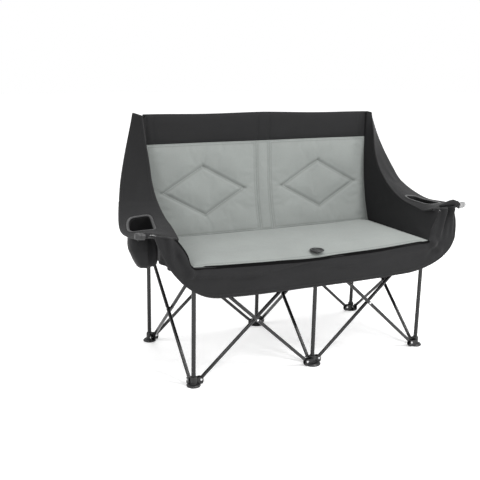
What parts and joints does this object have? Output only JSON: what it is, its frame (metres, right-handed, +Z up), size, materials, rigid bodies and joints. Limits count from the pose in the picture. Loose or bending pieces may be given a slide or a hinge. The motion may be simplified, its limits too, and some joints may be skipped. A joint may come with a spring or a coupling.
{
  "type": "folding camping loveseat",
  "caption": "Folding camping loveseat: scissor-linked steel legs carry a padded seat and back, side walls, and armrests with hanging cup pouches.",
  "frame": {"origin": "on the ground under the middle of the unfolded frame", "axes": "+X to the right of a viewer who faces the front, +Y from the front to the back, +Z up"},
  "size_m": [1.434, 0.546, 0.934],
  "materials": {
    "post_steel": "black, satin",
    "rod_steel": "black, satin",
    "arm_steel": "black, satin",
    "foot_plastic": "black, fine grain",
    "hub_plastic": "black, fine grain",
    "cap_plastic": "black, half gloss",
    "tip_dark": "dark grey",
    "tip_light": "light grey",
    "dark_cloth": "woven polyester, charcoal",
    "grey_cloth": "woven polyester, light grey, padded",
    "trim_cloth": "bound edge, mid grey"
  },
  "bodies": {
    "front_left_leg": {"foot_front_left": "foot_plastic", "leg_outer_front_left": "post_steel"},
    "front_left_hub": {"hub_front_left": "hub_plastic", "leg_inner_front_left": "post_steel"},
    "front_middle_leg": {"foot_front_middle": "foot_plastic", "leg_outer_front_middle": "post_steel"},
    "front_middle_hub": {"hub_front_middle": "hub_plastic", "leg_inner_front_middle": "post_steel", "seat_cap": "cap_plastic", "front_band": "dark_cloth"},
    "front_right_leg": {"foot_front_right": "foot_plastic", "leg_outer_front_right": "post_steel"},
    "front_right_hub": {"hub_front_right": "hub_plastic", "leg_inner_front_right": "post_steel"},
    "rear_left_leg": {"foot_rear_left": "foot_plastic", "post_rear_left": "post_steel", "pocket_rear_left": "dark_cloth", "side_wall_left": "dark_cloth", "shoulder_left": "dark_cloth"},
    "rear_left_hub": {"hub_rear_left": "hub_plastic"},
    "rear_middle_leg": {"foot_rear_middle": "foot_plastic", "post_rear_middle": "post_steel", "pocket_rear_middle": "dark_cloth"},
    "rear_middle_hub": {"hub_rear_middle": "hub_plastic"},
    "rear_right_leg": {"foot_rear_right": "foot_plastic", "post_rear_right": "post_steel", "pocket_rear_right": "dark_cloth", "side_wall_right": "dark_cloth", "shoulder_right": "dark_cloth"},
    "rear_right_hub": {"hub_rear_right": "hub_plastic"},
    "rod_front_left_rising": {"rod_front_left_rising": "rod_steel"},
    "rod_front_left_falling": {"rod_front_left_falling": "rod_steel"},
    "rod_front_right_rising": {"rod_front_right_rising": "rod_steel"},
    "rod_front_right_falling": {"rod_front_right_falling": "rod_steel"},
    "rod_rear_left_rising": {"rod_rear_left_rising": "rod_steel"},
    "rod_rear_left_falling": {"rod_rear_left_falling": "rod_steel"},
    "rod_rear_right_rising": {"rod_rear_right_rising": "rod_steel"},
    "rod_rear_right_falling": {"rod_rear_right_falling": "rod_steel"},
    "rod_side_left_rising": {"rod_side_left_rising": "rod_steel"},
    "rod_side_left_falling": {"rod_side_left_falling": "rod_steel"},
    "rod_side_middle_rising": {"rod_side_middle_rising": "rod_steel"},
    "rod_side_middle_falling": {"rod_side_middle_falling": "rod_steel"},
    "rod_side_right_rising": {"rod_side_right_rising": "rod_steel"},
    "rod_side_right_falling": {"rod_side_right_falling": "rod_steel"},
    "arm_left": {"arm_tube_left": "arm_steel", "arm_tip_left": "tip_dark"},
    "armrest_left": {"armrest_left": "dark_cloth", "cup_pouch_left": "dark_cloth", "cup_trim_left": "trim_cloth"},
    "arm_right": {"arm_tube_right": "arm_steel", "arm_tip_right": "tip_light"},
    "armrest_right": {"armrest_right": "dark_cloth", "cup_pouch_right": "dark_cloth", "cup_trim_right": "trim_cloth"},
    "back": {"back_panel": "dark_cloth", "back_pad_left": "grey_cloth", "back_pad_right": "grey_cloth", "back_channel_pad": "grey_cloth"},
    "seat_rear": {"seat_pad_rear": "grey_cloth"},
    "seat_front": {"seat_pad_front": "grey_cloth"}
  },
  "joints": [
    {"name": "fold", "type": "hinge", "parent": "rear_middle_leg", "child": "rod_rear_left_falling", "pos_m": [-0.03, 0.24, 0.02], "axis": [0, 1, 0], "range_deg": [0, 45], "deforming": ["front_band", "side_wall_left", "shoulder_left", "side_wall_right", "shoulder_right", "armrest_left", "cup_pouch_left", "cup_trim_left", "armrest_right", "cup_pouch_right", "cup_trim_right", "back_panel", "back_pad_left", "back_pad_right", "back_channel_pad", "seat_pad_rear", "seat_pad_front"]},
    {"name": "rear_middle_to_rear_left_crossing", "type": "hinge", "parent": "rod_rear_left_falling", "child": "rod_rear_left_rising", "pos_m": [-0.25, 0.24, 0.221], "axis": [0, -1, 0], "range_deg": [0, 90]},
    {"name": "rear_middle_to_rear_left_far_foot_pivot", "type": "hinge", "parent": "rod_rear_left_rising", "child": "rear_left_leg", "pos_m": [-0.47, 0.24, 0.02], "axis": [0, 1, 0], "range_deg": [0, 45]},
    {"name": "rear_middle_to_rear_left_far_hub_pivot", "type": "hinge", "parent": "rod_rear_left_falling", "child": "rear_left_hub", "pos_m": [-0.47, 0.24, 0.422], "axis": [0, -1, 0], "range_deg": [0, 45]},
    {"name": "rear_middle_to_rear_left_hub_pivot", "type": "hinge", "parent": "rod_rear_left_rising", "child": "rear_middle_hub", "pos_m": [-0.03, 0.24, 0.422], "axis": [0, 1, 0], "range_deg": [0, 45]},
    {"name": "rear_middle_to_rear_right_foot_pivot", "type": "hinge", "parent": "rear_middle_leg", "child": "rod_rear_right_rising", "pos_m": [0.03, 0.24, 0.02], "axis": [0, -1, 0], "range_deg": [0, 45]},
    {"name": "rear_middle_to_rear_right_crossing", "type": "hinge", "parent": "rod_rear_right_rising", "child": "rod_rear_right_falling", "pos_m": [0.25, 0.24, 0.221], "axis": [0, 1, 0], "range_deg": [0, 90]},
    {"name": "rear_middle_to_rear_right_far_foot_pivot", "type": "hinge", "parent": "rod_rear_right_falling", "child": "rear_right_leg", "pos_m": [0.47, 0.24, 0.02], "axis": [0, -1, 0], "range_deg": [0, 45]},
    {"name": "rear_middle_to_rear_right_far_hub_pivot", "type": "hinge", "parent": "rod_rear_right_rising", "child": "rear_right_hub", "pos_m": [0.47, 0.24, 0.422], "axis": [0, 1, 0], "range_deg": [0, 45]},
    {"name": "rear_middle_to_front_middle_foot_pivot", "type": "hinge", "parent": "rear_middle_leg", "child": "rod_side_middle_falling", "pos_m": [0, 0.22, 0.02], "axis": [-1, 0, 0], "range_deg": [0, 45]},
    {"name": "rear_middle_to_front_middle_crossing", "type": "hinge", "parent": "rod_side_middle_falling", "child": "rod_side_middle_rising", "pos_m": [0, 0, 0.221], "axis": [1, 0, 0], "range_deg": [0, 90]},
    {"name": "rear_middle_to_front_middle_far_foot_pivot", "type": "hinge", "parent": "rod_side_middle_rising", "child": "front_middle_leg", "pos_m": [0, -0.22, 0.02], "axis": [-1, 0, 0], "range_deg": [0, 45]},
    {"name": "rear_middle_to_front_middle_far_hub_pivot", "type": "hinge", "parent": "rod_side_middle_falling", "child": "front_middle_hub", "pos_m": [0, -0.22, 0.422], "axis": [1, 0, 0], "range_deg": [0, 45]},
    {"name": "rear_left_to_front_left_foot_pivot", "type": "hinge", "parent": "rear_left_leg", "child": "rod_side_left_falling", "pos_m": [-0.5, 0.22, 0.02], "axis": [-1, 0, 0], "range_deg": [0, 45]},
    {"name": "rear_left_to_front_left_crossing", "type": "hinge", "parent": "rod_side_left_falling", "child": "rod_side_left_rising", "pos_m": [-0.5, 0, 0.221], "axis": [1, 0, 0], "range_deg": [0, 90]},
    {"name": "rear_left_to_front_left_far_foot_pivot", "type": "hinge", "parent": "rod_side_left_rising", "child": "front_left_leg", "pos_m": [-0.5, -0.22, 0.02], "axis": [-1, 0, 0], "range_deg": [0, 45]},
    {"name": "rear_left_to_front_left_far_hub_pivot", "type": "hinge", "parent": "rod_side_left_falling", "child": "front_left_hub", "pos_m": [-0.5, -0.22, 0.422], "axis": [1, 0, 0], "range_deg": [0, 45]},
    {"name": "rear_right_to_front_right_foot_pivot", "type": "hinge", "parent": "rear_right_leg", "child": "rod_side_right_falling", "pos_m": [0.5, 0.22, 0.02], "axis": [-1, 0, 0], "range_deg": [0, 45]},
    {"name": "rear_right_to_front_right_crossing", "type": "hinge", "parent": "rod_side_right_falling", "child": "rod_side_right_rising", "pos_m": [0.5, 0, 0.221], "axis": [1, 0, 0], "range_deg": [0, 90]},
    {"name": "rear_right_to_front_right_far_foot_pivot", "type": "hinge", "parent": "rod_side_right_rising", "child": "front_right_leg", "pos_m": [0.5, -0.22, 0.02], "axis": [-1, 0, 0], "range_deg": [0, 45]},
    {"name": "rear_right_to_front_right_far_hub_pivot", "type": "hinge", "parent": "rod_side_right_falling", "child": "front_right_hub", "pos_m": [0.5, -0.22, 0.422], "axis": [1, 0, 0], "range_deg": [0, 45]},
    {"name": "rod_front_left_rising_foot_pivot", "type": "hinge", "parent": "front_left_leg", "child": "rod_front_left_rising", "pos_m": [-0.47, -0.24, 0.02], "axis": [0, -1, 0], "range_deg": [0, 45]},
    {"name": "rod_front_left_falling_foot_pivot", "type": "hinge", "parent": "front_middle_leg", "child": "rod_front_left_falling", "pos_m": [-0.03, -0.24, 0.02], "axis": [0, 1, 0], "range_deg": [0, 45]},
    {"name": "rod_front_right_rising_foot_pivot", "type": "hinge", "parent": "front_middle_leg", "child": "rod_front_right_rising", "pos_m": [0.03, -0.24, 0.02], "axis": [0, -1, 0], "range_deg": [0, 45]},
    {"name": "rod_front_right_falling_foot_pivot", "type": "hinge", "parent": "front_right_leg", "child": "rod_front_right_falling", "pos_m": [0.47, -0.24, 0.02], "axis": [0, 1, 0], "range_deg": [0, 45]},
    {"name": "arm_left_pivot", "type": "hinge", "parent": "front_left_hub", "child": "arm_left", "pos_m": [-0.524, -0.24, 0.422], "axis": [0, 1, 0], "range_deg": [0, 47]},
    {"name": "arm_right_pivot", "type": "hinge", "parent": "front_right_hub", "child": "arm_right", "pos_m": [0.524, -0.24, 0.422], "axis": [0, -1, 0], "range_deg": [0, 47]},
    {"name": "back_hang", "type": "hinge", "parent": "rear_middle_leg", "child": "back", "pos_m": [0, 0.24, 0.92], "axis": [1, 0, 0], "range_deg": [0, 8]},
    {"name": "seat_rear_drop", "type": "hinge", "parent": "back", "child": "seat_rear", "pos_m": [0, 0.157, 0.447], "axis": [1, 0, 0], "range_deg": [0, 90]},
    {"name": "seat_front_drop", "type": "hinge", "parent": "front_middle_hub", "child": "seat_front", "pos_m": [0, -0.24, 0.43], "axis": [-1, 0, 0], "range_deg": [0, 90]},
    {"name": "armrest_left_lift", "type": "hinge", "parent": "rear_left_leg", "child": "armrest_left", "pos_m": [-0.59, 0.12, 0.62], "axis": [-1, 0, 0], "range_deg": [0, 90]},
    {"name": "armrest_right_lift", "type": "hinge", "parent": "rear_right_leg", "child": "armrest_right", "pos_m": [0.59, 0.12, 0.62], "axis": [-1, 0, 0], "range_deg": [0, 90]}
  ],
  "couplings": [
    {"joint": "rear_middle_to_rear_left_crossing", "follows": "fold", "ratio": 2},
    {"joint": "rear_middle_to_rear_left_far_foot_pivot", "follows": "fold", "ratio": 1},
    {"joint": "rear_middle_to_rear_left_far_hub_pivot", "follows": "fold", "ratio": 1},
    {"joint": "rear_middle_to_rear_left_hub_pivot", "follows": "fold", "ratio": 1},
    {"joint": "rear_middle_to_rear_right_foot_pivot", "follows": "fold", "ratio": 1},
    {"joint": "rear_middle_to_rear_right_crossing", "follows": "fold", "ratio": 2},
    {"joint": "rear_middle_to_rear_right_far_foot_pivot", "follows": "fold", "ratio": 1},
    {"joint": "rear_middle_to_rear_right_far_hub_pivot", "follows": "fold", "ratio": 1},
    {"joint": "rear_middle_to_front_middle_foot_pivot", "follows": "fold", "ratio": 1},
    {"joint": "rear_middle_to_front_middle_crossing", "follows": "fold", "ratio": 2},
    {"joint": "rear_middle_to_front_middle_far_foot_pivot", "follows": "fold", "ratio": 1},
    {"joint": "rear_middle_to_front_middle_far_hub_pivot", "follows": "fold", "ratio": 1},
    {"joint": "rear_left_to_front_left_foot_pivot", "follows": "fold", "ratio": 1},
    {"joint": "rear_left_to_front_left_crossing", "follows": "fold", "ratio": 2},
    {"joint": "rear_left_to_front_left_far_foot_pivot", "follows": "fold", "ratio": 1},
    {"joint": "rear_left_to_front_left_far_hub_pivot", "follows": "fold", "ratio": 1},
    {"joint": "rear_right_to_front_right_foot_pivot", "follows": "fold", "ratio": 1},
    {"joint": "rear_right_to_front_right_crossing", "follows": "fold", "ratio": 2},
    {"joint": "rear_right_to_front_right_far_foot_pivot", "follows": "fold", "ratio": 1},
    {"joint": "rear_right_to_front_right_far_hub_pivot", "follows": "fold", "ratio": 1},
    {"joint": "rod_front_left_rising_foot_pivot", "follows": "fold", "ratio": 1},
    {"joint": "rod_front_left_falling_foot_pivot", "follows": "fold", "ratio": 1},
    {"joint": "rod_front_right_rising_foot_pivot", "follows": "fold", "ratio": 1},
    {"joint": "rod_front_right_falling_foot_pivot", "follows": "fold", "ratio": 1},
    {"joint": "arm_left_pivot", "follows": "fold", "ratio": 1.0444},
    {"joint": "arm_right_pivot", "follows": "fold", "ratio": 1.0444},
    {"joint": "back_hang", "follows": "fold", "ratio": 0.17778},
    {"joint": "seat_rear_drop", "follows": "fold", "ratio": 2},
    {"joint": "seat_front_drop", "follows": "fold", "ratio": 2},
    {"joint": "armrest_left_lift", "follows": "fold", "ratio": 2},
    {"joint": "armrest_right_lift", "follows": "fold", "ratio": 2}
  ]
}
